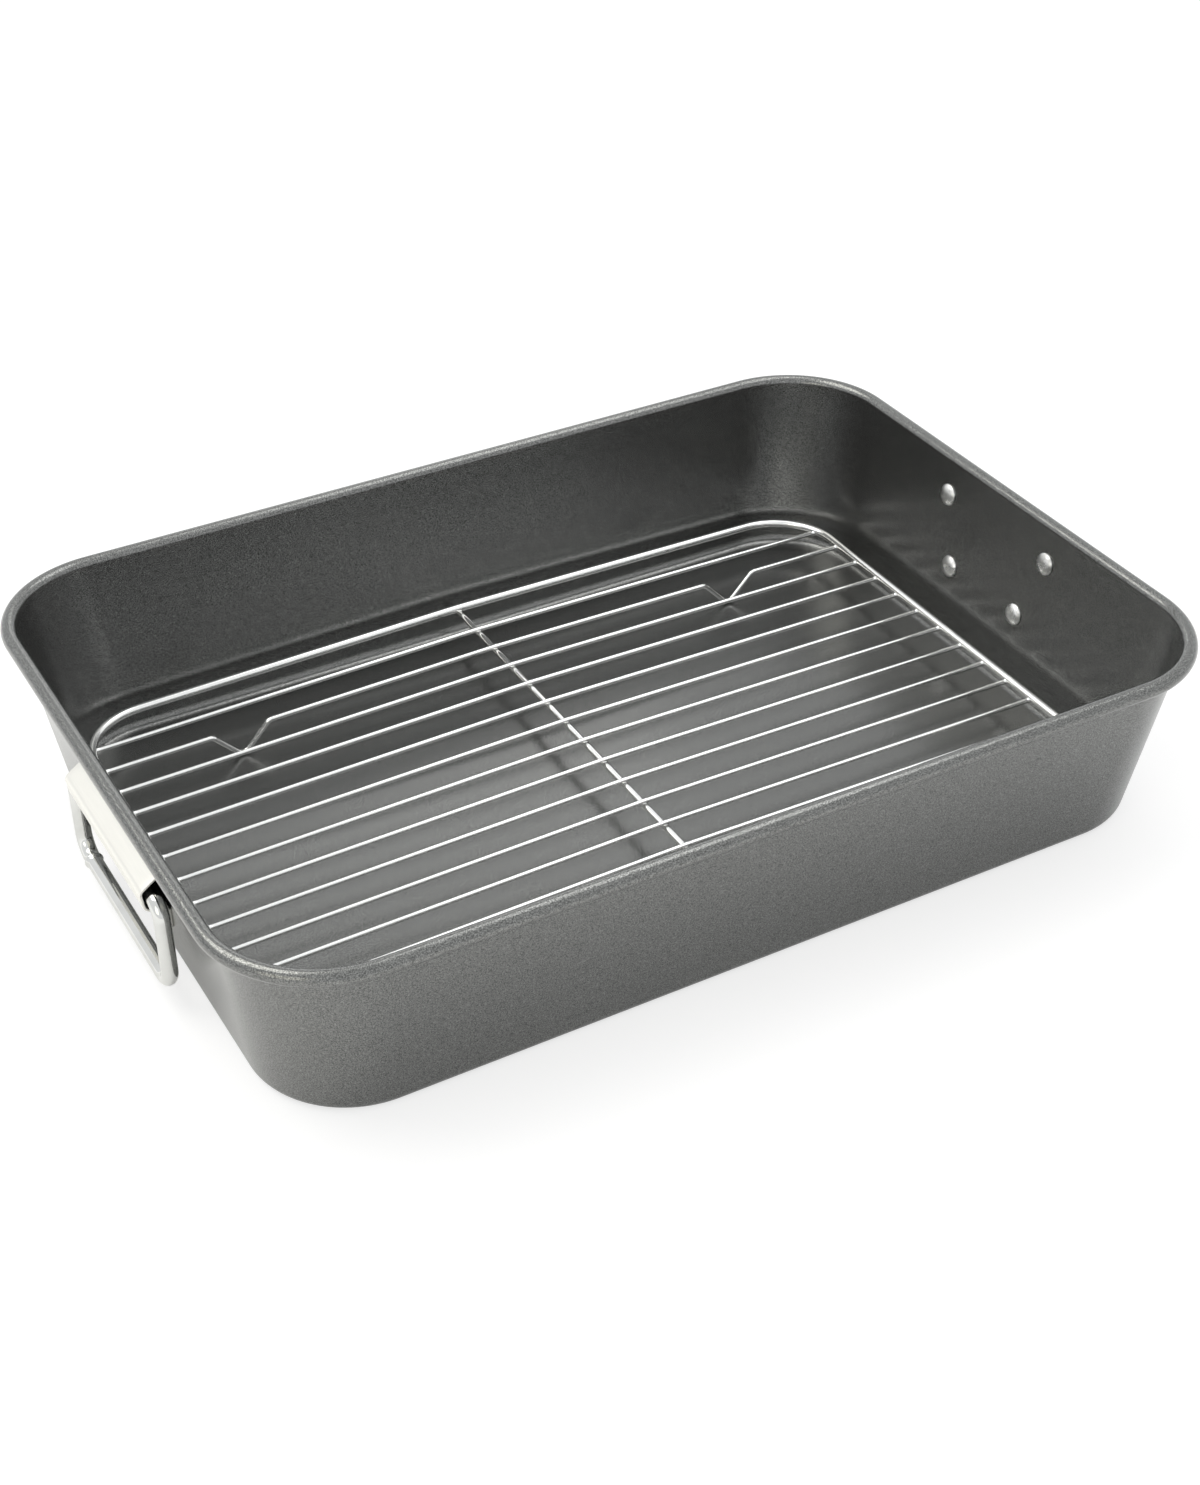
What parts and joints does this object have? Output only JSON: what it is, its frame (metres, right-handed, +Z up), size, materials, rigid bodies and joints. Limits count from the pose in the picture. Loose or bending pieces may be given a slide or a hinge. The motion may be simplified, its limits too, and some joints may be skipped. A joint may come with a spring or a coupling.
{
  "type": "roasting pan with rack",
  "caption": "Deep rectangular roasting pan with tapered walls, a rolled rim, folding wire handles and a lift-out wire rack.",
  "frame": {"origin": "middle of the pan's underside, on the surface it stands on", "axes": "+X along the pan towards its right handle, +Y across it, +Z up"},
  "size_m": [0.457, 0.326, 0.088],
  "materials": {
    "coated_steel": "satin dark grey non-stick coating with a fine metallic speckle",
    "wire_steel": "plain drawn wire",
    "stainless": "polished stamped sheet",
    "bail_chrome": "bright plated wire",
    "rivet_aluminium": "satin formed heads",
    "rack_chrome": "bright plated wire"
  },
  "bodies": {
    "pan": {"pan_shell": "coated_steel", "rim_wire": "wire_steel", "left_handle_bracket": "stainless", "right_handle_bracket": "stainless", "left_rivets": "rivet_aluminium", "right_rivets": "rivet_aluminium"},
    "left_bail": {"left_bail": "bail_chrome"},
    "right_bail": {"right_bail": "bail_chrome"},
    "rack": {"rack_frame": "rack_chrome", "rack_cross_wire": "rack_chrome", "rack_wire_01": "rack_chrome", "rack_wire_02": "rack_chrome", "rack_wire_03": "rack_chrome", "rack_wire_04": "rack_chrome", "rack_wire_05": "rack_chrome", "rack_wire_06": "rack_chrome", "rack_wire_07": "rack_chrome", "rack_wire_08": "rack_chrome", "rack_wire_09": "rack_chrome", "rack_wire_10": "rack_chrome", "rack_wire_11": "rack_chrome", "rack_wire_12": "rack_chrome", "rack_wire_13": "rack_chrome", "rack_wire_14": "rack_chrome"}
  },
  "joints": [
    {"name": "left_bail_hinge", "type": "hinge", "parent": "pan", "child": "left_bail", "pos_m": [-0.22277, 0, 0.05357], "axis": [0, 1, 0], "range_deg": [-6, 160]},
    {"name": "right_bail_hinge", "type": "hinge", "parent": "pan", "child": "right_bail", "pos_m": [0.22277, 0, 0.05357], "axis": [0, -1, 0], "range_deg": [-6, 160]},
    {"name": "rack_lift", "type": "slide", "parent": "pan", "child": "rack", "axis": [0, 0, 1], "range_m": [0, 0.12]}
  ]
}
